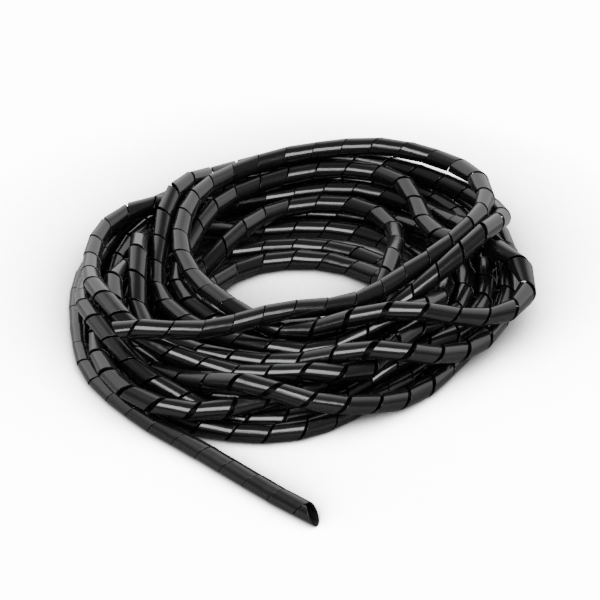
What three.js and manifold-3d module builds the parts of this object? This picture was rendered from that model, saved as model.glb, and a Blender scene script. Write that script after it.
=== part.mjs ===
// Spiral cable wrap: one long polyethylene tube, thrown down in a loose coil with one tail.
// Millimetres, +Z up. The coil lies on the plane z = 0 and its tail comes out at the front (-Y).
// The origin is under the middle of the whole thing's box, tail included.
// The tube's helical slit is fine relief and isn't in this solid, whose two ends show the bore.
import * as THREE from "three";
import { mergeVertices } from "three/addons/utils/BufferGeometryUtils.js";
import Module from "manifold-3d";

// Sizes of the tube
const TUBE_DIAMETER = 12;
const WALL_THICKNESS = 1;
const BORE_DEPTH = 45;
const SECTION_SIDES = 8;
const STEP_LENGTH = 16;

// Size of the coil: how far out a station lies that the tables below put at TABLE_REACH
const COIL_REACH = 100;
const TABLE_REACH = 100;

// How the turns settle on each other
const TURN_CLEARANCE = 1.6;
const SETTLE_ROUNDS = 400;
const SETTLE_SPACING = 6;
const SETTLE_SINK = 0.03;
const FRICTION_HOLD = 0.04;
const LONE_PUSH = 1.3;
const SHARED_PUSH = 1.6;
const NEIGHBOUR_MARGIN = 8;
const OWN_STRETCH = 3 * TUBE_DIAMETER;
const STIFFNESS_PASSES = 10;
const EASING_PASSES = 4;
const ROUNDS_PER_SEARCH = 10;

// The route by the clock, seen from above: degrees round the coil's centre, reach from the centre
// and height of the tube's middle, where a tube on the floor has the height TABLE_RADIUS.
// It starts at the tail's free end and runs clockwise.
const TABLE_RADIUS = 6;
const TAIL = [
  [273, 217, 6],
  [262, 186, 6],
  [252, 168, 6],
  [240, 155, 6],
  [225, 148, 6],
  [210, 145, 6],
  [195, 142, 6],
  [180, 140, 6],
  [150, 144, 6],
  [120, 150, 6],
  [90, 153, 6],
  [60, 153, 6],
  [30, 142, 6],
];

// One entry for each full turn, from the floor up, read every thirty degrees of the clock.
const CLOCK_STEP = 30;
const TURNS = [
  {
    reach: [117, 98, 102, 130, 137, 131, 125, 130, 135, 138, 138, 128],
    height: [6, 6, 6, 6, 6, 6, 6, 6, 6, 6, 6, 6],
  },
  {
    reach: [103, 85, 79, 90, 112, 117, 111, 116, 121, 125, 127, 119],
    height: [6, 6, 6, 6, 6, 6, 6, 6, 6, 6, 6, 6],
  },
  {
    reach: [89, 71, 66, 74, 90, 101, 97, 87, 74, 71, 72, 73],
    height: [6, 6, 6, 6, 6, 6, 6, 6, 6, 6, 6, 6],
  },
  {
    reach: [72, 57, 53, 57, 72, 83, 81, 69, 80, 103, 107, 71],
    height: [6, 6, 6, 6, 6, 6, 7, 12, 16, 17, 17, 17],
  },
  {
    reach: [57, 47, 43, 45, 56, 66, 70, 64, 58, 55, 59, 61],
    height: [18, 16, 15, 15, 12, 8, 6, 6, 6, 6, 6, 6],
  },
  {
    reach: [76, 81, 87, 108, 149, 142, 120, 128, 129, 137, 141, 134],
    height: [15, 18, 18, 15, 17, 14, 10, 17, 18, 18, 18, 18],
  },
  {
    reach: [120, 108, 93, 117, 131, 134, 136, 139, 143, 151, 154, 146],
    height: [18, 18, 7, 6, 9, 22, 18, 16, 17, 18, 18, 18],
  },
  {
    reach: [126, 112, 115, 127, 121, 122, 121, 104, 108, 112, 118, 112],
    height: [12, 7, 7, 19, 20, 20, 22, 18, 18, 18, 18, 20],
  },
  {
    reach: [107, 95, 101, 98, 107, 127, 130, 138, 114, 123, 127, 124],
    height: [19, 19, 19, 20, 22, 30, 30, 29, 22, 19, 19, 22],
  },
  {
    reach: [128, 118, 103, 86, 86, 103, 106, 109, 99, 93, 97, 95],
    height: [23, 20, 29, 24, 24, 26, 26, 24, 14, 6, 10, 24],
  },
  {
    reach: [97, 85, 76, 68, 68, 76, 92, 103, 130, 146, 143, 149],
    height: [24, 28, 25, 24, 24, 26, 28, 34, 32, 29, 31, 35],
  },
  {
    reach: [98, 62, 48, 43, 48, 64, 76, 86, 107, 123, 133, 101],
    height: [35, 22, 30, 30, 28, 24, 22, 22, 30, 33, 33, 34],
  },
  {
    reach: [145, 108, 71, 56, 53, 56, 68, 92, 113, 131, 150, 141],
    height: [35, 31, 30, 30, 32, 34, 36, 38, 40, 43, 45, 48],
  },
];

// The last part turn, which crosses over the front of the coil to the upper free end.
const UPPER_END = [
  [360, 80, 45],
  [330, 56, 45],
  [300, 46, 44],
  [270, 47, 44],
  [240, 71, 45],
  [226, 104, 45],
  [214, 137, 45],
];

// Where the tube's section is drawn with flat sides, its middle lies this high on the floor.
const RADIUS = TUBE_DIAMETER / 2;
const FLAT_RADIUS = RADIUS * Math.cos(Math.PI / SECTION_SIDES);

// Joins the tail, the full turns and the upper end into one list with a clock angle that only falls.
function clockStations() {
  const list = TAIL.map((station) => [...station]);
  TURNS.forEach(({ reach, height }, turn) => {
    reach.forEach((_, k) => list.push([-360 * turn - CLOCK_STEP * k, reach[k], height[k]]));
  });
  for (const [clock, reach, height] of UPPER_END) {
    list.push([clock - 360 * (TURNS.length + 1), reach, height]);
  }
  return list;
}

// Second derivatives of the natural cubic spline through (x, y), by elimination down the band.
function splineBends(x, y) {
  const n = x.length;
  const bends = new Array(n).fill(0);
  const upper = new Array(n).fill(0);
  for (let i = 1; i < n - 1; i++) {
    const before = x[i] - x[i - 1];
    const after = x[i + 1] - x[i];
    const pivot = 2 * (before + after) - before * upper[i - 1];
    const slopes = (y[i + 1] - y[i]) / after - (y[i] - y[i - 1]) / before;
    upper[i] = after / pivot;
    bends[i] = (6 * slopes - before * bends[i - 1]) / pivot;
  }
  for (let i = n - 2; i > 0; i--) bends[i] -= upper[i] * bends[i + 1];
  return bends;
}

// The natural cubic spline through (x, y), read at q.
function readSpline(x, y, bends, q) {
  let i = 0;
  while (i < x.length - 2 && q >= x[i + 1]) i++;
  const width = x[i + 1] - x[i];
  const left = q - x[i];
  const right = x[i + 1] - q;
  const cubic = (bends[i] * right ** 3 + bends[i + 1] * left ** 3) / (6 * width);
  const rise = (y[i + 1] / width - (bends[i + 1] * width) / 6) * left;
  const fall = (y[i] / width - (bends[i] * width) / 6) * right;
  return cubic + rise + fall;
}

// The chosen stations as a curve in space: polar about the coil's centre, one point each half degree.
function chosenRoute() {
  const stations = clockStations();
  const along = stations.map(([clock]) => -clock);
  const reach = stations.map((station) => (station[1] * COIL_REACH) / TABLE_REACH);
  const height = stations.map((station) => (station[2] * RADIUS) / TABLE_RADIUS);
  const reachBends = splineBends(along, reach);
  const heightBends = splineBends(along, height);
  const points = [];
  const halfDegrees = Math.round((along.at(-1) - along[0]) * 2);
  for (let k = 0; k <= halfDegrees; k++) {
    const q = along[0] + k / 2;
    const clock = THREE.MathUtils.degToRad(-q);
    const r = readSpline(along, reach, reachBends, q);
    const z = readSpline(along, height, heightBends, q);
    points.push(new THREE.Vector3(r * Math.cos(clock), r * Math.sin(clock), z));
  }
  return points;
}

// The same polyline with its points an even distance apart.
function evenPoints(points, spacing) {
  const lengths = [0];
  for (let i = 1; i < points.length; i++) {
    lengths.push(lengths[i - 1] + points[i].distanceTo(points[i - 1]));
  }
  const total = lengths.at(-1);
  const count = Math.round(total / spacing);
  const even = [];
  let i = 0;
  for (let k = 0; k <= count; k++) {
    const target = (total * k) / count;
    while (i < points.length - 2 && lengths[i + 1] < target) i++;
    const part = (target - lengths[i]) / (lengths[i + 1] - lengths[i]);
    even.push(points[i].clone().lerp(points[i + 1], Math.min(part, 1)));
  }
  return even;
}

// Pairs of points of different stretches that lie near enough to touch soon.
function nearPairs(points, reach) {
  const apart = Math.ceil(OWN_STRETCH / SETTLE_SPACING);
  const pairs = [];
  for (let i = 0; i < points.length; i++) {
    for (let j = i + apart + 1; j < points.length; j++) {
      if (points[i].distanceToSquared(points[j]) < reach * reach) pairs.push([i, j]);
    }
  }
  return pairs;
}

// How far each point is pushed by the turns that touch it. A pair too close parts by equal shares.
function pushesApart(points, pairs, wanted) {
  const pushes = points.map(() => new THREE.Vector3());
  const touches = points.map(() => 0);
  const between = new THREE.Vector3();
  for (const [i, j] of pairs) {
    between.subVectors(points[j], points[i]);
    const distance = between.length();
    if (distance >= wanted) continue;
    between.multiplyScalar((0.5 * (wanted - distance)) / distance);
    pushes[i].sub(between);
    pushes[j].add(between);
    touches[i]++;
    touches[j]++;
  }
  pushes.forEach((push, i) => {
    push.multiplyScalar((touches[i] > 1 ? SHARED_PUSH : LONE_PUSH) / Math.max(1, touches[i]));
  });
  return pushes;
}

// Spreads each point's move over its neighbours, as the tube's stiffness does.
function spreadMoves(moves) {
  let now = moves;
  for (let pass = 0; pass < STIFFNESS_PASSES; pass++) {
    const last = now.length - 1;
    now = now.map((move, i) =>
      move
        .clone()
        .multiplyScalar(0.5)
        .addScaledVector(now[Math.max(i - 1, 0)], 0.25)
        .addScaledVector(now[Math.min(i + 1, last)], 0.25),
    );
  }
  return now;
}

// Takes out kinks: each point moves by a share of the fourth difference of its neighbours.
function easeKinks(points) {
  let now = points;
  for (let pass = 0; pass < EASING_PASSES; pass++) {
    const before = now;
    now = before.map((point, i) => {
      if (i < 2 || i > before.length - 3) return point.clone();
      return point
        .clone()
        .multiplyScalar(10 / 16)
        .addScaledVector(before[i - 2], -1 / 16)
        .addScaledVector(before[i - 1], 4 / 16)
        .addScaledVector(before[i + 1], 4 / 16)
        .addScaledVector(before[i + 2], -1 / 16);
    });
  }
  return now;
}

// Lets the coil find its place. Touching turns push each other apart, everything sinks a little,
// friction holds each point near where it was laid, and the floor carries what reaches it.
function settle(laid) {
  const wanted = TUBE_DIAMETER + TURN_CLEARANCE;
  let points = laid.map((point) => point.clone());
  let pairs = [];
  for (let round = 0; round < SETTLE_ROUNDS; round++) {
    if (round % ROUNDS_PER_SEARCH === 0) pairs = nearPairs(points, wanted + NEIGHBOUR_MARGIN);
    const hold = FRICTION_HOLD * (1 - round / SETTLE_ROUNDS);
    const moves = pushesApart(points, pairs, wanted);
    moves.forEach((move, i) => {
      move.x += (laid[i].x - points[i].x) * hold;
      move.y += (laid[i].y - points[i].y) * hold;
      move.z -= SETTLE_SINK;
    });
    const spread = spreadMoves(moves);
    points = easeKinks(points.map((point, i) => point.clone().add(spread[i])));
    for (const point of points) point.z = Math.max(point.z, RADIUS);
  }
  return evenPoints(points, SETTLE_SPACING);
}

// The tube's middle line. Its section keeps one flat side down wherever the tube runs level.
class TubePath extends THREE.Curve {
  constructor(points) {
    super();
    this.points = points;
    this.arcLengthDivisions = points.length * 2;
  }

  getPoint(t, target = new THREE.Vector3()) {
    const last = this.points.length - 1;
    const place = Math.min(Math.max(t, 0), 1) * last;
    const i = Math.min(Math.floor(place), last - 1);
    return target.copy(this.points[i]).lerp(this.points[i + 1], place - i);
  }

  computeFrenetFrames(segments) {
    const up = new THREE.Vector3(0, 0, 1);
    const tangents = [];
    const normals = [];
    const binormals = [];
    for (let i = 0; i <= segments; i++) {
      const before = this.getPointAt(Math.max(i - 0.5, 0) / segments);
      const after = this.getPointAt(Math.min(i + 0.5, segments) / segments);
      const tangent = after.sub(before).normalize();
      const normal = new THREE.Vector3().crossVectors(up, tangent).normalize();
      tangents.push(tangent);
      normals.push(normal);
      binormals.push(new THREE.Vector3().crossVectors(tangent, normal));
    }
    return { tangents, normals, binormals };
  }
}

// A flat-sided round section of the given radius to its corners, with a side at the bottom.
function section(radius) {
  const corners = [];
  for (let i = 0; i < SECTION_SIDES; i++) {
    const angle = ((i + 0.5) / SECTION_SIDES) * 2 * Math.PI;
    corners.push(new THREE.Vector2(radius * Math.cos(angle), radius * Math.sin(angle)));
  }
  return new THREE.Shape(corners);
}

function sweep(points, radius, steps) {
  const extrudePath = new TubePath(points);
  return new THREE.ExtrudeGeometry(section(radius), { steps, bevelEnabled: false, extrudePath });
}

// The bore's stretch at one end, carried on past the cut face so that it opens it.
function boreStretch(points) {
  const stretch = points.slice(0, Math.round(BORE_DEPTH / SETTLE_SPACING) + 1);
  const outside = stretch[0].clone().multiplyScalar(2).sub(stretch[1]);
  return [outside, ...stretch];
}

const wasm = await Module();
wasm.setup();

function toSolid(geometry) {
  geometry.deleteAttribute("normal");
  geometry.deleteAttribute("uv");
  const welded = mergeVertices(geometry, 1e-4);
  return new wasm.Manifold(
    new wasm.Mesh({
      numProp: 3,
      vertProperties: new Float32Array(welded.attributes.position.array),
      triVerts: new Uint32Array(welded.index.array),
    }),
  );
}

function toGeometry(solid) {
  const mesh = solid.getMesh();
  const geometry = new THREE.BufferGeometry();
  geometry.setAttribute("position", new THREE.BufferAttribute(mesh.vertProperties, 3));
  geometry.setIndex(new THREE.BufferAttribute(mesh.triVerts, 1));
  geometry.computeVertexNormals();
  return geometry;
}

// The whole tube as one solid: the sweep along the settled route, less the bore at both ends.
function spiralWrap() {
  const route = settle(evenPoints(chosenRoute(), SETTLE_SPACING));
  const length = (route.length - 1) * SETTLE_SPACING;
  const tube = toSolid(sweep(route, RADIUS, Math.round(length / STEP_LENGTH)));
  const ends = [boreStretch(route), boreStretch([...route].reverse())];
  const bores = ends.map((stretch) =>
    toSolid(sweep(stretch, RADIUS - WALL_THICKNESS, Math.round(BORE_DEPTH / SETTLE_SPACING))),
  );
  const open = tube.subtract(bores[0]).subtract(bores[1]);
  const material = new THREE.MeshStandardMaterial({ color: 0x101112, roughness: 0.25, metalness: 0 });
  const mesh = new THREE.Mesh(toGeometry(open), material);
  mesh.name = "spiral_wrap";
  mesh.geometry.computeBoundingBox();
  const middle = mesh.geometry.boundingBox.getCenter(new THREE.Vector3());
  mesh.position.set(-middle.x, -middle.y, FLAT_RADIUS - RADIUS);
  return mesh;
}

const part = new THREE.Group();
part.name = "spiral_cable_wrap";
part.add(spiralWrap());

export default part;
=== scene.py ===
"""Spiral cable wrap: one long black tube, cut along a helix, thrown down in a loose coil.

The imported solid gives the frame. This script lays the same route, winds the cut band of the tube
round it as one strip with a real slit, and gives the strip its gloss. All lengths are in metres.
"""
import logging
import math
from dataclasses import dataclass, field
from enum import Enum

import bpy
import numpy as np
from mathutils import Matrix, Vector


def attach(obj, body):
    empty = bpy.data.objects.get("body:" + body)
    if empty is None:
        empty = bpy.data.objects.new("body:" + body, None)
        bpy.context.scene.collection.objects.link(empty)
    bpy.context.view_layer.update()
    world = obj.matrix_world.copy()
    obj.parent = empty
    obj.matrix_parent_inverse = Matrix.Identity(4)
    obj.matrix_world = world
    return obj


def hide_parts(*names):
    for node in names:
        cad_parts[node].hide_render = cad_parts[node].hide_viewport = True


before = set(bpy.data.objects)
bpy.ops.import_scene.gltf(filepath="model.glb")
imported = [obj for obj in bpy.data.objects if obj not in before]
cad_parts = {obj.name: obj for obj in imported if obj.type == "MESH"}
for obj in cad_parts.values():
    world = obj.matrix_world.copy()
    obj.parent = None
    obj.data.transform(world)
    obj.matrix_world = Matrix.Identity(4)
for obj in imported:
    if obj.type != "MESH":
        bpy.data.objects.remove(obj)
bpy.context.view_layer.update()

MM = 0.001
LOG = logging.getLogger("spiral_cable_wrap")

# The route by the clock, seen from above: degrees round the coil's centre, reach from the centre
# and height of the tube's middle, both in millimetres. It starts at the tail's free end.
TAIL = [
    (273, 217, 6),
    (262, 186, 6),
    (252, 168, 6),
    (240, 155, 6),
    (225, 148, 6),
    (210, 145, 6),
    (195, 142, 6),
    (180, 140, 6),
    (150, 144, 6),
    (120, 150, 6),
    (90, 153, 6),
    (60, 153, 6),
    (30, 142, 6),
]

# One entry for each full turn, from the floor up, read every thirty degrees of the clock: the
# reaches, and then the heights.
CLOCK_STEP = 30
TURNS = [
    ([117, 98, 102, 130, 137, 131, 125, 130, 135, 138, 138, 128],
     [6, 6, 6, 6, 6, 6, 6, 6, 6, 6, 6, 6]),
    ([103, 85, 79, 90, 112, 117, 111, 116, 121, 125, 127, 119],
     [6, 6, 6, 6, 6, 6, 6, 6, 6, 6, 6, 6]),
    ([89, 71, 66, 74, 90, 101, 97, 87, 74, 71, 72, 73],
     [6, 6, 6, 6, 6, 6, 6, 6, 6, 6, 6, 6]),
    ([72, 57, 53, 57, 72, 83, 81, 69, 80, 103, 107, 71],
     [6, 6, 6, 6, 6, 6, 7, 12, 16, 17, 17, 17]),
    ([57, 47, 43, 45, 56, 66, 70, 64, 58, 55, 59, 61],
     [18, 16, 15, 15, 12, 8, 6, 6, 6, 6, 6, 6]),
    ([76, 81, 87, 108, 149, 142, 120, 128, 129, 137, 141, 134],
     [15, 18, 18, 15, 17, 14, 10, 17, 18, 18, 18, 18]),
    ([120, 108, 93, 117, 131, 134, 136, 139, 143, 151, 154, 146],
     [18, 18, 7, 6, 9, 22, 18, 16, 17, 18, 18, 18]),
    ([126, 112, 115, 127, 121, 122, 121, 104, 108, 112, 118, 112],
     [12, 7, 7, 19, 20, 20, 22, 18, 18, 18, 18, 20]),
    ([107, 95, 101, 98, 107, 127, 130, 138, 114, 123, 127, 124],
     [19, 19, 19, 20, 22, 30, 30, 29, 22, 19, 19, 22]),
    ([128, 118, 103, 86, 86, 103, 106, 109, 99, 93, 97, 95],
     [23, 20, 29, 24, 24, 26, 26, 24, 14, 6, 10, 24]),
    ([97, 85, 76, 68, 68, 76, 92, 103, 130, 146, 143, 149],
     [24, 28, 25, 24, 24, 26, 28, 34, 32, 29, 31, 35]),
    ([98, 62, 48, 43, 48, 64, 76, 86, 107, 123, 133, 101],
     [35, 22, 30, 30, 28, 24, 22, 22, 30, 33, 33, 34]),
    ([145, 108, 71, 56, 53, 56, 68, 92, 113, 131, 150, 141],
     [35, 31, 30, 30, 32, 34, 36, 38, 40, 43, 45, 48]),
]

# The last part turn, which crosses over the front of the coil to the upper free end.
UPPER_END = [
    (360, 80, 45),
    (330, 56, 45),
    (300, 46, 44),
    (270, 47, 44),
    (240, 71, 45),
    (226, 104, 45),
    (214, 137, 45),
]

# How far the slit stands open beyond what the bend asks, in millimetres, by the number of turns
# from the tail's free end.
SLIT_OPENINGS = [
    (0.7, 0.0),
    (0.9, 0.5),
    (5.6, 0.6),
    (5.8, 1.8),
    (6.2, 2.2),
    (6.7, 1.0),
    (7.7, 0.8),
    (7.8, 2.0),
    (8.05, 2.0),
    (8.3, 0.8),
    (8.7, 0.8),
    (8.8, 1.5),
    (9.05, 1.5),
    (9.25, 0.1),
    (9.45, 0.1),
    (9.7, 0.8),
    (9.8, 2.2),
    (10.05, 2.2),
    (10.3, 0.8),
    (10.85, 0.8),
    (11.25, 0.3),
    (11.45, 1.5),
    (11.6, 1.0),
    (11.74, 1.0),
    (11.82, 2.8),
    (12.0, 2.6),
    (12.2, 1.0),
    (12.66, 0.6),
    (12.74, 0.3),
    (12.8, 1.4),
    (12.84, 2.6),
    (12.95, 2.4),
    (13.1, 0.6),
    (13.2, 0.1),
]


class Hand(Enum):
    """Which way the slit winds round the tube."""

    LEFT = -1
    RIGHT = 1


class Skin(Enum):
    """The two faces of the band, by the index of their material."""

    OUTSIDE = 0
    CUT = 1


class Stream(Enum):
    """The seeded stream of random numbers that a wandering value is drawn from."""

    LIFT = 1
    TILT = 2


# The sides of the band's section that are its outside, counted from its first point.
OUTSIDE_SIDES = range(1, 6)

# How fast the extrusion lines change in a metre along the tube, beside a radius across it.
STREAKS_ALONG = 4


def smoothed(values: np.ndarray, passes: int) -> np.ndarray:
    """Each value becomes a quarter of each neighbour and half of itself, as often as asked.

    Args:
        values: One row for each point, along the tube.
        passes: How many times the rows are spread.

    Returns:
        The spread rows. An end counts as its own neighbour.
    """
    for _ in range(passes):
        wide = np.concatenate([values[:1], values, values[-1:]])
        values = 0.25 * wide[:-2] + 0.5 * wide[1:-1] + 0.25 * wide[2:]
    return values


def eased(points: np.ndarray, passes: int) -> np.ndarray:
    """Takes out kinks: each point moves by a sixteenth of the fourth difference of its neighbours.

    Args:
        points: The points along the tube.
        passes: How many times they are eased.

    Returns:
        The eased points.
    """
    for _ in range(passes):
        move = np.zeros_like(points)
        near = 4 * (points[1:-3] + points[3:-1])
        move[2:-2] = (near - points[:-4] - points[4:] - 6 * points[2:-2]) / 16
        points = points + move
    return points


def evened(points: np.ndarray, spacing: float) -> np.ndarray:
    """The same polyline with its points an even distance apart.

    Args:
        points: The polyline's points.
        spacing: The wanted distance.

    Returns:
        The new points, with both ends kept.
    """
    lengths = lengths_along(points)
    places = np.linspace(0, lengths[-1], round(lengths[-1] / spacing) + 1)
    return np.stack([np.interp(places, lengths, points[:, k]) for k in range(3)], axis=1)


def lengths_along(points: np.ndarray) -> np.ndarray:
    """How far along the polyline each point lies."""
    return np.r_[0, np.cumsum(np.linalg.norm(np.diff(points, axis=0), axis=1))]


def natural_spline(x: np.ndarray, y: np.ndarray, q: np.ndarray) -> np.ndarray:
    """The natural cubic spline through (x, y), read at q.

    Between two stations it is the cubic that keeps the second derivative straight from one
    station's bend to the next's, and the bends solve the usual banded equations.

    Args:
        x: The stations' places, rising.
        y: The stations' values, one column for each quantity.
        q: Where to read it.

    Returns:
        The values at q.
    """
    count = len(x)
    width = np.diff(x)
    band = np.eye(count)
    right = np.zeros((count, y.shape[1]))
    inner = np.arange(1, count - 1)
    slopes = np.diff(y, axis=0) / width[:, None]
    band[inner, inner] = 2 * (width[:-1] + width[1:])
    band[inner, inner - 1] = width[:-1]
    band[inner, inner + 1] = width[1:]
    right[inner] = 6 * np.diff(slopes, axis=0)
    bends = np.linalg.solve(band, right)
    i = np.clip(np.searchsorted(x, q, side="right") - 1, 0, count - 2)
    step = width[i][:, None]
    left = (q - x[i])[:, None]
    rest = step - left
    cubic = (bends[i] * rest**3 + bends[i + 1] * left**3) / (6 * step)
    rise = (y[i + 1] / step - bends[i + 1] * step / 6) * left
    fall = (y[i] / step - bends[i] * step / 6) * rest
    return cubic + rise + fall


@dataclass(frozen=True)
class CoilRoute:
    """The line that the tube's middle follows, laid by the clock and then settled turn on turn.

    Turns that touch part by shares of what they lack, lone_push where one turn touches and
    shared_push where several do. Points nearer along the tube than own_stretch don't push each
    other, and hold is the friction, which fades as the coil settles.
    """

    tube_radius: float = 6 * MM
    turn_clearance: float = 1.6 * MM
    spacing: float = 6 * MM
    reads_per_degree: int = 2
    sink: float = 0.03 * MM
    neighbour_margin: float = 8 * MM
    own_stretch: float = 36 * MM
    rounds: int = 400
    rounds_per_search: int = 10
    stiffness_passes: int = 10
    easing_passes: int = 4
    hold: float = 0.04
    lone_push: float = 1.3
    shared_push: float = 1.6

    def stations(self) -> np.ndarray:
        """All the chosen stations in one list, with a clock angle that only falls.

        Returns:
            Rows of degrees, reach and height.
        """
        rows = list(TAIL)
        for turn, (reaches, heights) in enumerate(TURNS):
            for k, (reach, height) in enumerate(zip(reaches, heights)):
                rows.append((-360 * turn - CLOCK_STEP * k, reach, height))
        for clock, reach, height in UPPER_END:
            rows.append((clock - 360 * (len(TURNS) + 1), reach, height))
        table = np.array(rows, float)
        table[:, 1:] *= MM
        return table

    def laid(self) -> np.ndarray:
        """The stations as a curve in space: reach and height follow natural splines of the clock.

        Returns:
            Points an even spacing apart.
        """
        table = self.stations()
        along = -table[:, 0]
        count = round((along[-1] - along[0]) * self.reads_per_degree) + 1
        q = along[0] + np.arange(count) / self.reads_per_degree
        read = natural_spline(along, table[:, 1:], q)
        clock = np.radians(-q)
        x = read[:, 0] * np.cos(clock)
        y = read[:, 0] * np.sin(clock)
        return evened(np.stack([x, y, read[:, 1]], axis=1), self.spacing)

    def near_pairs(self, points: np.ndarray) -> tuple[np.ndarray, np.ndarray]:
        """Pairs of points of different stretches that lie near enough to touch soon.

        Args:
            points: The points along the tube.

        Returns:
            The lower and the higher index of each pair.
        """
        reach = 2 * self.tube_radius + self.turn_clearance + self.neighbour_margin
        square = (points**2).sum(axis=1)
        apart = square[:, None] + square[None] - 2 * points @ points.T
        own = round(self.own_stretch / self.spacing)
        index = np.arange(len(points))
        return np.nonzero((apart < reach**2) & (index[None] - index[:, None] > own))

    def pushes(self, points: np.ndarray, low: np.ndarray, high: np.ndarray) -> np.ndarray:
        """How far each point is pushed by the turns that touch it. A close pair parts equally.

        Args:
            points: The points along the tube.
            low: The lower index of each near pair.
            high: The higher index of each near pair.

        Returns:
            One move for each point.
        """
        wanted = 2 * self.tube_radius + self.turn_clearance
        between = points[high] - points[low]
        distance = np.linalg.norm(between, axis=1)
        lack = np.maximum(wanted - distance, 0)
        share = between * (0.5 * lack / distance)[:, None]
        count = len(points)
        both = np.r_[low, high]
        signed = np.r_[-share, share]
        touches = np.bincount(both, np.r_[lack, lack] > 0, count)
        moves = np.stack([np.bincount(both, signed[:, k], count) for k in range(3)], axis=1)
        gain = np.where(touches > 1, self.shared_push, self.lone_push) / np.maximum(touches, 1)
        return moves * gain[:, None]

    def settled(self) -> np.ndarray:
        """Lets the coil find its place. Touching turns push each other apart, everything sinks a
        little, friction holds each point near where it was laid, and the floor carries the rest.

        Returns:
            Points an even spacing apart, centred over the origin by their own box.
        """
        laid = self.laid()
        points = laid.copy()
        for turn in range(self.rounds):
            if turn % self.rounds_per_search == 0:
                low, high = self.near_pairs(points)
            move = self.pushes(points, low, high)
            hold = self.hold * (1 - turn / self.rounds)
            move[:, :2] += (laid - points)[:, :2] * hold
            move[:, 2] -= self.sink
            points = eased(points + smoothed(move, self.stiffness_passes), self.easing_passes)
            points[:, 2] = np.maximum(points[:, 2], self.tube_radius)
        points = evened(points, self.spacing)
        middle = (points.min(axis=0) + points.max(axis=0)) / 2
        return points - np.array([middle[0], middle[1], 0])


@dataclass(frozen=True)
class TubeLine:
    """A smooth reading of the route: place, direction and the two cross directions at any length."""

    points: np.ndarray
    lengths: np.ndarray

    @classmethod
    def through(cls, route: np.ndarray, spacing: float = 2 * MM) -> "TubeLine":
        """Reads the route as a natural spline at a finer spacing.

        Args:
            route: The settled points.
            spacing: The distance between the new points.

        Returns:
            The line.
        """
        lengths = lengths_along(route)
        q = np.linspace(0, lengths[-1], round(lengths[-1] / spacing) + 1)
        points = natural_spline(lengths, route, q)
        return cls(points, lengths_along(points))

    @property
    def length(self) -> float:
        """The whole length of the line."""
        return float(self.lengths[-1])

    def read(self, rows: np.ndarray, along: np.ndarray) -> np.ndarray:
        """Rows that belong to the line's points, read at other lengths."""
        columns = [np.interp(along, self.lengths, rows[:, k]) for k in range(rows.shape[1])]
        return np.stack(columns, axis=1)

    def curvature(self, passes: int) -> np.ndarray:
        """How sharply the line bends at each of its points, in one over metres.

        Args:
            passes: How often the result is spread, so that small kinks don't show.

        Returns:
            One value for each point.
        """
        forward = np.gradient(self.points, self.lengths, axis=0)
        bend = np.linalg.norm(np.gradient(forward, self.lengths, axis=0), axis=1)
        return smoothed(bend[:, None], passes)[:, 0]

    def frames(self, along: np.ndarray) -> tuple[np.ndarray, np.ndarray, np.ndarray, np.ndarray]:
        """The place on the line and its three directions. Past an end the line runs on straight.

        The side direction is level, and the top direction is square to it and to the line.

        Args:
            along: The lengths to read at.

        Returns:
            Places, forward directions, side directions and top directions.
        """
        inside = np.clip(along, 0, self.length)
        forward = self.read(np.gradient(self.points, self.lengths, axis=0), inside)
        forward /= np.linalg.norm(forward, axis=1)[:, None]
        place = self.read(self.points, inside) + forward * (along - inside)[:, None]
        side = np.cross([0.0, 0.0, 1.0], forward)
        side /= np.linalg.norm(side, axis=1)[:, None]
        return place, forward, side, np.cross(forward, side)


@dataclass(frozen=True)
class SlantedCut:
    """How one end of the tube is cut off: slanted, and longest towards one direction across it."""

    lean: float
    side: float
    top: float

    def shortening(self, angle: np.ndarray, radius: float) -> np.ndarray:
        """How much shorter the tube is than at its longest place, at angles round it.

        It is the radius times the lean, times one less the cosine between the angle and the
        direction in which the end is longest.

        Args:
            angle: Angles from the side direction towards the top direction.
            radius: The tube's radius.

        Returns:
            One length for each angle.
        """
        longest = math.atan2(self.top, self.side)
        return radius * self.lean * (1 - np.cos(angle - longest))


@dataclass(frozen=True)
class BandRows:
    """The band's stations, one value for each in every row.

    A station has the turns wound so far, its middle's length along the tube, its angle round the
    tube, and where the band begins and ends along the tube, seen from its middle.
    """

    turn: np.ndarray
    centre: np.ndarray
    angle: np.ndarray
    low: np.ndarray
    high: np.ndarray


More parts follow.
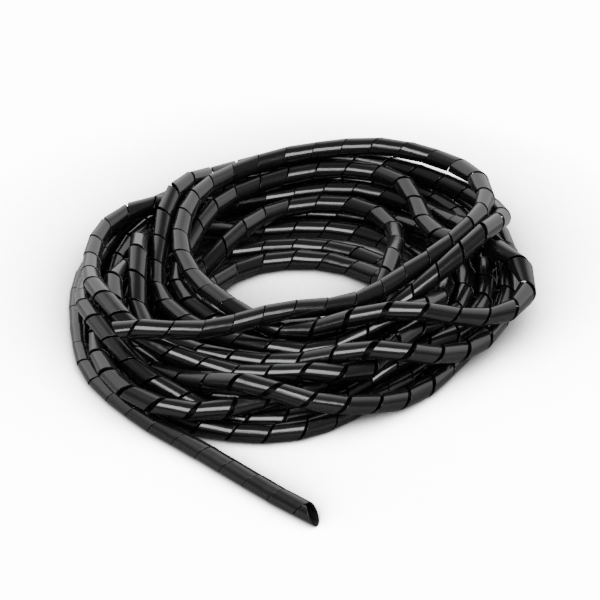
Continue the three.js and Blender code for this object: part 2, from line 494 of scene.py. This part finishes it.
@dataclass
class SpiralWrap:
    """The tube as what it is: one band, wound round the route edge to edge, with its slit open.

    The band follows the bends of the route by the share follow, and is straight for the rest. Its
    edges are eased off by edge, and lift and tilt are how unevenly it lies.
    """

    tube_radius: float = CoilRoute.tube_radius
    wall: float = 1 * MM
    band_width: float = 19.5 * MM
    slit: float = 0.35 * MM
    edge: float = 0.10 * MM
    edge_share: float = 0.3
    edge_limit: float = 0.4
    tip_width: float = 0.6 * MM
    facets: int = 24
    hand: Hand = Hand.LEFT
    start_angle: float = -2.0
    tail_cut: SlantedCut = SlantedCut(lean=0.8, side=0.5, top=-0.87)
    upper_cut: SlantedCut = SlantedCut(lean=0.4, side=-0.56, top=0.83)
    follow: float = 0.6
    lift: float = 0.07 * MM
    tilt: float = 0.028
    wander_rate: int = 2
    curvature_passes: int = 60
    seed: int = 7
    route: np.ndarray = field(default_factory=lambda: CoilRoute().settled())

    def turns_of(self, line: TubeLine) -> tuple[np.ndarray, np.ndarray]:
        """How many times the band has gone round the tube, at lengths along it.

        On the inside of a bend the band's edges touch, so the pitch there is the band's width
        over one less the curvature times the radius, as far as the band doesn't bend with the
        tube, and the slit opens on the outside.

        Args:
            line: The tube's middle line.

        Returns:
            Lengths from before the first end to past the last one, and the turns at each.
        """
        clock = np.degrees(np.unwrap(np.arctan2(line.points[:, 1], line.points[:, 0])))
        wound = (clock[0] - clock) / 360
        opening = np.interp(wound, *np.array(SLIT_OPENINGS).T) * MM
        bend = self.curvature_share(line)
        pitch = (self.band_width + self.slit) / (1 - (1 - self.follow) * bend) + opening
        half = self.band_width / 2
        along = np.r_[-half, line.lengths, line.length + half]
        pitch = np.r_[pitch[0], pitch, pitch[-1]]
        rate = 1 / pitch
        turns = np.r_[0, np.cumsum(np.diff(along) * (rate[1:] + rate[:-1]) / 2)]
        return along, turns

    def curvature_share(self, line: TubeLine) -> np.ndarray:
        """The tube's radius over the radius of its bend, at each point of the line."""
        return line.curvature(self.curvature_passes) * self.tube_radius

    def wander(self, turns: np.ndarray, size: float, stream: Stream) -> np.ndarray:
        """A small smooth wandering value with a few free numbers for each turn of the band.

        The numbers run on past the last place, are spread once, and are read in straight lines.

        Args:
            turns: Where to read it.
            size: Its usual size.
            stream: What it is drawn for.

        Returns:
            One value for each place.
        """
        draw = np.random.default_rng([self.seed, stream.value])
        place = turns * self.wander_rate
        count = int(place.max()) + 3
        free = smoothed(draw.normal(0, size, (count, 1)), 1)
        return np.interp(place, np.arange(count), free[:, 0])

    def section(self, low: np.ndarray, high: np.ndarray) -> tuple[np.ndarray, np.ndarray]:
        """The band's section: a flat wall with its two outer edges eased off.

        Args:
            low: Where the band begins along the tube, from its own middle.
            high: Where it ends.

        Returns:
            The places along the tube and the distances from its middle line, eight for each row.
        """
        width = high - low
        edge = np.minimum(self.edge, self.edge_limit * width)
        near = edge * self.edge_share
        outer = np.full_like(width, self.tube_radius)
        inner = outer - self.wall
        across = [low, low, low + near, low + edge, high - edge, high - near, high, high]
        away = [inner, outer - edge, outer - near, outer, outer, outer - near, outer - edge, inner]
        return np.stack(across, axis=1), np.stack(away, axis=1)

    def rows(self, line: TubeLine) -> BandRows:
        """The band's stations, an even part of a turn apart, as far as the tube's cut ends leave it.

        The angle is the start angle plus a full circle for each turn. The ends are cut at a slant,
        so the band's first and last turn run out to a point, and what is narrower than the tip
        width is left off.

        Args:
            line: The tube's middle line.

        Returns:
            The stations' rows.
        """
        along, turns = self.turns_of(line)
        half = self.band_width / 2
        first = np.interp(self.tip_width - half, along, turns)
        last = np.interp(line.length + half - self.tip_width, along, turns)
        count = round((last - first) * self.facets)
        turn = np.linspace(first, last, count + 1)
        centre = np.interp(turn, turns, along)
        angle = self.start_angle + self.hand.value * 2 * math.pi * turn
        begins = self.tail_cut.shortening(angle, self.tube_radius)
        stops = line.length - self.upper_cut.shortening(angle, self.tube_radius)
        low = np.maximum(-half, begins - centre)
        high = np.minimum(half, stops - centre)
        narrow = np.nonzero(high - low < self.tip_width)[0]
        keep = slice(
            narrow[narrow < count / 2].max(initial=-1) + 1,
            narrow[narrow > count / 2].min(initial=count + 1),
        )
        return BandRows(turn[keep], centre[keep], angle[keep], low[keep], high[keep])

    def surface(self, line: TubeLine) -> tuple[np.ndarray, np.ndarray]:
        """The band's vertices, as a function of the turns round the tube and the section's points.

        A vertex's way along the tube is partly followed along the middle line, and the rest goes
        straight on in the forward direction. To that place comes its distance from the middle,
        times the cosine of the band's angle to the side and the sine to the top. The distance
        wanders a little, and so does the band's tilt along the tube. The floor presses back what
        would come out below it.

        Args:
            line: The tube's middle line.

        Returns:
            The vertices by station and section point, and each vertex's place in the tube: the
            cosine and sine of its angle and its length along the tube.
        """
        band = self.rows(line)
        across, away = self.section(band.low, band.high)
        lift = self.wander(band.turn, self.lift, Stream.LIFT)[:, None]
        tilt = self.wander(band.turn, self.tilt, Stream.TILT)[:, None]
        away = away + lift + tilt * across
        followed = band.centre[:, None] + self.follow * across
        frames = line.frames(followed.reshape(-1))
        place, forward, side, top = (rows.reshape(*across.shape, 3) for rows in frames)
        cosine = np.cos(band.angle)[:, None]
        sine = np.sin(band.angle)[:, None]
        outward = side * cosine[:, :, None] + top * sine[:, :, None]
        straight = (1 - self.follow) * across[:, :, None]
        vertices = place + forward * straight + outward * away[:, :, None]
        vertices[:, :, 2] = np.maximum(vertices[:, :, 2], 0)
        along = band.centre[:, None] + across
        placed = np.stack(np.broadcast_arrays(cosine, sine, along), axis=2)
        return vertices, placed

    def faces(self, stations: int, points: int) -> tuple[np.ndarray, np.ndarray]:
        """Quads between each station and the next, round the section.

        Args:
            stations: How many stations there are.
            points: How many section points each has.

        Returns:
            The quads, and the section side that each one belongs to.
        """
        station = np.arange(stations - 1)[:, None] * points
        here = np.arange(points)[None]
        after = (here + 1) % points
        corner = station + here
        beside = station + after
        quads = np.stack([corner, beside, beside + points, corner + points], axis=2)
        sides = np.repeat(here, stations - 1, axis=0)
        return quads.reshape(-1, 4), sides.reshape(-1)

    def mesh(self, name: str) -> tuple[bpy.types.Object, TubeLine]:
        """Puts the band into a mesh, with its caps, its smooth faces and its sharp edges.

        The signed volume under the quads says which way round they lie. Where it is negative, all
        faces are turned round, so that they point outwards.

        Args:
            name: The object's name.

        Returns:
            The object and the line that it follows.
        """
        line = TubeLine.through(self.route)
        vertices, placed = self.surface(line)
        stations, points = vertices.shape[:2]
        quads, sides = self.faces(stations, points)
        flat = vertices.reshape(-1, 3)
        a, b, c, d = (flat[quads[:, k]] for k in range(4))
        volume = (np.cross(a, b) * c).sum() + (np.cross(a, c) * d).sum()
        first = np.arange(points)
        caps = [first[::-1], first + (stations - 1) * points]
        if volume < 0:
            quads = quads[:, ::-1]
            caps = [cap[::-1] for cap in caps]
        mesh = bpy.data.meshes.new(name)
        mesh.from_pydata(flat, [], [*quads.tolist(), *(cap.tolist() for cap in caps)])
        outside = np.isin(sides, list(OUTSIDE_SIDES))
        skins = np.where(outside, Skin.OUTSIDE.value, Skin.CUT.value)
        skins = np.r_[skins, [Skin.CUT.value] * len(caps)].astype(np.int32)
        mesh.polygons.foreach_set("material_index", skins)
        mesh.polygons.foreach_set("use_smooth", np.ones(len(skins), bool))
        marks = mesh.attributes.new("in_tube", "FLOAT_VECTOR", "POINT")
        marks.data.foreach_set("vector", placed.reshape(-1).astype(np.float32))
        self.sharpen(mesh, points)
        mesh.update()
        body = bpy.data.objects.new(name, mesh)
        bpy.context.scene.collection.objects.link(body)
        return body, line

    def sharpen(self, mesh: bpy.types.Mesh, points: int) -> None:
        """Marks the edges that run along the band as sharp, so that its flat faces stay flat.

        Args:
            mesh: The band's mesh.
            points: How many points the section has.
        """
        ends = np.zeros(len(mesh.edges) * 2, np.int32)
        mesh.edges.foreach_get("vertices", ends)
        corner = ends.reshape(-1, 2) % points
        marks = mesh.attributes.new("sharp_edge", "BOOLEAN", "EDGE")
        marks.data.foreach_set("value", corner[:, 0] == corner[:, 1])

    def build(self) -> bpy.types.Object:
        """Makes the band, gives it its finishes, hangs it under the root body and hides the imported
        solid.

        Returns:
            The finished object.
        """
        body, line = self.mesh("spiral_wrap_tube")
        self.dress(body)
        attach(body, "root")
        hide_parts("spiral_wrap")
        return body

    def dress(self, body: bpy.types.Object) -> None:
        """Gives the outside its gloss, and the bore and the cut faces a duller one.

        Args:
            body: The band's object.
        """
        body.data.materials.append(Polyethylene("polyethylene_outside").build())
        cut = Polyethylene("polyethylene_cut", roughness=0.5, specular=0.12, streak=0.2)
        body.data.materials.append(cut.build())


class Nodes:
    """A short way to add nodes to a tree and to join them."""

    def __init__(self, tree: bpy.types.NodeTree) -> None:
        """Keeps the tree and clears it.

        Args:
            tree: The node tree that the nodes go into.
        """
        self.tree = tree
        tree.nodes.clear()

    def add(self, kind: str, **values: object) -> bpy.types.Node:
        """A new node. A value's name is a property of the node, or an input with _ for a space.

        Args:
            kind: The node's type.
            values: Properties and input values.

        Returns:
            The node.
        """
        node = self.tree.nodes.new(kind)
        for name, value in values.items():
            if hasattr(node, name):
                setattr(node, name, value)
            else:
                node.inputs[name.replace("_", " ")].default_value = value
        return node

    def join(self, source: bpy.types.NodeSocket, target: bpy.types.NodeSocket) -> None:
        """Links one socket to another."""
        self.tree.links.new(source, target)


def drawn_skin() -> bpy.types.NodeTree:
    """The marks of extrusion: fine lines that run along the tube, and a slow unevenness.

    The lines are noise on a vector that changes fast round the tube and slowly along it, so they
    follow the tube through every bend.

    Returns:
        The node group, made once.
    """
    name = "drawn_skin"
    if name in bpy.data.node_groups:
        return bpy.data.node_groups[name]
    group = bpy.data.node_groups.new(name, "ShaderNodeTree")
    for socket in ("Streak Scale", "Blotch Scale"):
        group.interface.new_socket(socket, in_out="INPUT", socket_type="NodeSocketFloat")
    for socket in ("Streaks", "Blotches"):
        group.interface.new_socket(socket, in_out="OUTPUT", socket_type="NodeSocketFloat")
    nodes = Nodes(group)
    given = nodes.add("NodeGroupInput")
    told = nodes.add("NodeGroupOutput")
    tube = nodes.add("ShaderNodeAttribute", attribute_name="in_tube")
    drawn = nodes.add("ShaderNodeMapping")
    drawn.inputs["Scale"].default_value = (1, 1, STREAKS_ALONG)
    streaks = nodes.add("ShaderNodeTexNoise", Detail=3, Roughness=0.6)
    space = nodes.add("ShaderNodeTexCoord")
    blotches = nodes.add("ShaderNodeTexNoise", Detail=2, Roughness=0.5)
    nodes.join(tube.outputs["Vector"], drawn.inputs["Vector"])
    nodes.join(drawn.outputs["Vector"], streaks.inputs["Vector"])
    nodes.join(given.outputs["Streak Scale"], streaks.inputs["Scale"])
    nodes.join(space.outputs["Object"], blotches.inputs["Vector"])
    nodes.join(given.outputs["Blotch Scale"], blotches.inputs["Scale"])
    nodes.join(streaks.outputs["Fac"], told.inputs["Streaks"])
    nodes.join(blotches.outputs["Fac"], told.inputs["Blotches"])
    return group


@dataclass(frozen=True)
class Polyethylene:
    """Gloss black polyethylene, with extrusion lines along the tube and a slow unevenness."""

    name: str
    roughness: float = 0.17
    specular: float = 0.5
    streak: float = 1.0
    dark: tuple[float, float, float] = (0.012, 0.012, 0.013)
    light: tuple[float, float, float] = (0.022, 0.022, 0.023)
    streak_scale: float = 9.0
    blotch_scale: float = 90.0
    roughness_range: float = 0.06
    streak_depth: float = 0.04 * MM
    wave_depth: float = 0.12 * MM

    def build(self) -> bpy.types.Material:
        """Makes the material.

        Returns:
            The material, with streaks and blotches in its colour, roughness and bump.
        """
        made = bpy.data.materials.new(self.name)
        made.use_nodes = True
        nodes = Nodes(made.node_tree)
        skin = nodes.add("ShaderNodeGroup")
        skin.node_tree = drawn_skin()
        skin.inputs["Streak Scale"].default_value = self.streak_scale
        skin.inputs["Blotch Scale"].default_value = self.blotch_scale
        colour = nodes.add("ShaderNodeValToRGB")
        colour.color_ramp.elements[0].color = (*self.dark, 1)
        colour.color_ramp.elements[1].color = (*self.light, 1)
        rough = nodes.add("ShaderNodeMapRange")
        rough.inputs["To Min"].default_value = self.roughness - self.roughness_range / 2
        rough.inputs["To Max"].default_value = self.roughness + self.roughness_range / 2
        lines = nodes.add("ShaderNodeBump", Strength=self.streak, Distance=self.streak_depth)
        waves = nodes.add("ShaderNodeBump", Strength=1.0, Distance=self.wave_depth)
        shader = nodes.add("ShaderNodeBsdfPrincipled", IOR=1.5)
        shader.inputs["Specular IOR Level"].default_value = self.specular
        out = nodes.add("ShaderNodeOutputMaterial")
        nodes.join(skin.outputs["Blotches"], colour.inputs["Fac"])
        nodes.join(skin.outputs["Streaks"], rough.inputs["Value"])
        nodes.join(skin.outputs["Streaks"], lines.inputs["Height"])
        nodes.join(skin.outputs["Blotches"], waves.inputs["Height"])
        nodes.join(lines.outputs["Normal"], waves.inputs["Normal"])
        nodes.join(colour.outputs["Color"], shader.inputs["Base Color"])
        nodes.join(rough.outputs["Result"], shader.inputs["Roughness"])
        nodes.join(waves.outputs["Normal"], shader.inputs["Normal"])
        nodes.join(shader.outputs["BSDF"], out.inputs["Surface"])
        return made


@dataclass(frozen=True)
class Softbox:
    """A rectangular lamp that faces the coil from a direction given by two angles.

    It shows in glossy surfaces only, and leaves the dark plastic's own shade as the sky makes it.
    """

    name: str
    azimuth: float
    elevation: float = 42.0
    distance: float = 1.6
    width: float = 0.52
    height: float = 0.85
    power: float = 19.0

    def build(self, target: Vector) -> bpy.types.Object:
        """Makes the lamp.

        Args:
            target: The point that it faces.

        Returns:
            The lamp's object.
        """
        lamp = bpy.data.lights.new(self.name, "AREA")
        lamp.shape = "RECTANGLE"
        lamp.size = self.width
        lamp.size_y = self.height
        lamp.energy = self.power
        turn = math.radians(self.azimuth)
        rise = math.radians(self.elevation)
        level = math.cos(rise)
        back = Vector((math.sin(turn) * level, -math.cos(turn) * level, math.sin(rise)))
        body = bpy.data.objects.new(self.name, lamp)
        body.location = target + back * self.distance
        body.rotation_euler = back.to_track_quat("Z", "Y").to_euler()
        body.visible_diffuse = False
        bpy.context.scene.collection.objects.link(body)
        return body


@dataclass(frozen=True)
class Studio:
    """The camera at the photograph's angle, a plain pale floor and soft light.

    The surround's ramps are given by the direction's part towards the back and its part upwards,
    each from where the surround is dark to where it is bright.
    """

    target: tuple[float, float, float] = (-0.0008, 0.0107, 0.025)
    elevation: float = 34.0
    distance: float = 1.9
    width_seen: float = 0.378
    sensor: float = 36.0
    nearest_seen: float = 0.05
    farthest_seen: float = 50.0
    floor_size: float = 6.0
    floor_colour: tuple[float, float, float] = (0.88, 0.88, 0.88)
    floor_roughness: float = 0.9
    floor_glow: float = 14.0
    # Painted contact shade on the floor: how far the ambient occlusion looks, how hard it darkens
    # the glow, and which way it leans.
    painted_shade_reach: float = 0.12
    painted_shade_power: float = 5.2
    painted_shade_lean: float = -0.8
    bright_sky: float = 2.5
    dark_sky: float = 0.34
    back_ramp: tuple[float, float] = (-0.25, 0.35)
    up_ramp: tuple[float, float] = (0.95, 0.65)
    lamps: tuple[Softbox, ...] = (
        Softbox("left_softbox", azimuth=-30),
        Softbox("middle_softbox", azimuth=0),
        Softbox("right_softbox", azimuth=30),
    )

    def camera(self) -> bpy.types.Object:
        """Makes the scene's camera, which sees the stated width at the target's distance.

        Returns:
            The camera's object.
        """
        lens = bpy.data.cameras.new("photo_camera")
        lens.sensor_width = self.sensor
        lens.lens = self.sensor * self.distance / self.width_seen
        lens.clip_start = self.nearest_seen
        lens.clip_end = self.farthest_seen
        rise = math.radians(self.elevation)
        back = Vector((0, -math.cos(rise), math.sin(rise)))
        body = bpy.data.objects.new("photo_camera", lens)
        body.location = Vector(self.target) + back * self.distance
        body.rotation_euler = back.to_track_quat("Z", "Y").to_euler()
        bpy.context.scene.collection.objects.link(body)
        bpy.context.scene.camera = body
        return body

    def floor(self) -> bpy.types.Object:
        """Makes the plain floor that the coil lies on.

        Returns:
            The floor's object.
        """
        half = self.floor_size / 2
        mesh = bpy.data.meshes.new("pale_floor")
        corners = [(-half, -half, 0), (half, -half, 0), (half, half, 0), (-half, half, 0)]
        mesh.from_pydata(corners, [], [(0, 1, 2, 3)])
        mesh.materials.append(self.floor_finish())
        body = bpy.data.objects.new("pale_floor", mesh)
        bpy.context.scene.collection.objects.link(body)
        return body

    def floor_finish(self) -> bpy.types.Material:
        """Makes the floor's material.

        The camera sees an even glow, times a power of how open the place is towards the front, so
        a painted contact shade shows round the coil; no lamp casts it. All other light meets a plain
        pale surface.

        Returns:
            The material.
        """
        made = bpy.data.materials.new("pale_floor")
        made.use_nodes = True
        nodes = Nodes(made.node_tree)
        shader = nodes.add("ShaderNodeBsdfPrincipled", Roughness=self.floor_roughness)
        shader.inputs["Base Color"].default_value = (*self.floor_colour, 1)
        # Painted shade: ambient occlusion dims the floor's camera glow near the coil in place of a
        # cast shadow.
        painted_shade_openness = nodes.add("ShaderNodeAmbientOcclusion", samples=16, Distance=self.painted_shade_reach)
        lean = nodes.add("ShaderNodeCombineXYZ", X=0.0, Y=self.painted_shade_lean, Z=1.0)
        shade = nodes.add("ShaderNodeMath", operation="POWER")
        shade.inputs[1].default_value = self.painted_shade_power
        bright = nodes.add("ShaderNodeMath", operation="MULTIPLY")
        bright.inputs[1].default_value = self.floor_glow
        glow = nodes.add("ShaderNodeEmission")
        path = nodes.add("ShaderNodeLightPath")
        seen = nodes.add("ShaderNodeMixShader")
        out = nodes.add("ShaderNodeOutputMaterial")
        nodes.join(lean.outputs["Vector"], painted_shade_openness.inputs["Normal"])
        nodes.join(painted_shade_openness.outputs["AO"], shade.inputs[0])
        nodes.join(shade.outputs["Value"], bright.inputs[0])
        nodes.join(bright.outputs["Value"], glow.inputs["Strength"])
        nodes.join(path.outputs["Is Camera Ray"], seen.inputs["Fac"])
        nodes.join(shader.outputs["BSDF"], seen.inputs[1])
        nodes.join(glow.outputs["Emission"], seen.inputs[2])
        nodes.join(seen.outputs["Shader"], out.inputs["Surface"])
        return made

    def light(self) -> None:
        """Makes the surround and the lamps.

        The surround is bright low down behind the coil and fades past its sides. It is dark
        overhead and on the camera's side, so the gloss shows pale sides and dark tops.
        """
        world = bpy.data.worlds.new("studio_surround")
        world.use_nodes = True
        nodes = Nodes(world.node_tree)
        toward = nodes.add("ShaderNodeTexCoord")
        axes = nodes.add("ShaderNodeSeparateXYZ")
        behind = nodes.add("ShaderNodeMapRange", interpolation_type="SMOOTHSTEP")
        behind.inputs["From Min"].default_value = self.back_ramp[0]
        behind.inputs["From Max"].default_value = self.back_ramp[1]
        low = nodes.add("ShaderNodeMapRange", interpolation_type="SMOOTHSTEP")
        low.inputs["From Min"].default_value = self.up_ramp[0]
        low.inputs["From Max"].default_value = self.up_ramp[1]
        both = nodes.add("ShaderNodeMath", operation="MULTIPLY")
        strength = nodes.add("ShaderNodeMapRange")
        strength.inputs["To Min"].default_value = self.dark_sky
        strength.inputs["To Max"].default_value = self.bright_sky
        sky = nodes.add("ShaderNodeBackground")
        out = nodes.add("ShaderNodeOutputWorld")
        nodes.join(toward.outputs["Generated"], axes.inputs["Vector"])
        nodes.join(axes.outputs["Y"], behind.inputs["Value"])
        nodes.join(axes.outputs["Z"], low.inputs["Value"])
        nodes.join(behind.outputs["Result"], both.inputs[0])
        nodes.join(low.outputs["Result"], both.inputs[1])
        nodes.join(both.outputs["Value"], strength.inputs["Value"])
        nodes.join(strength.outputs["Result"], sky.inputs["Strength"])
        nodes.join(sky.outputs["Background"], out.inputs["Surface"])
        bpy.context.scene.world = world
        for lamp in self.lamps:
            lamp.build(Vector(self.target))


def main() -> None:
    """Builds the camera, the wrap, the floor and the light, in that order."""
    logging.basicConfig(level=logging.INFO, format="%(message)s")
    studio = Studio()
    studio.camera()
    wrap = SpiralWrap().build()
    triangles = sum(len(face.vertices) - 2 for face in wrap.data.polygons)
    LOG.info("%s: %d triangles", wrap.name, triangles)
    studio.floor()
    studio.light()


if __name__ == "__main__":
    main()
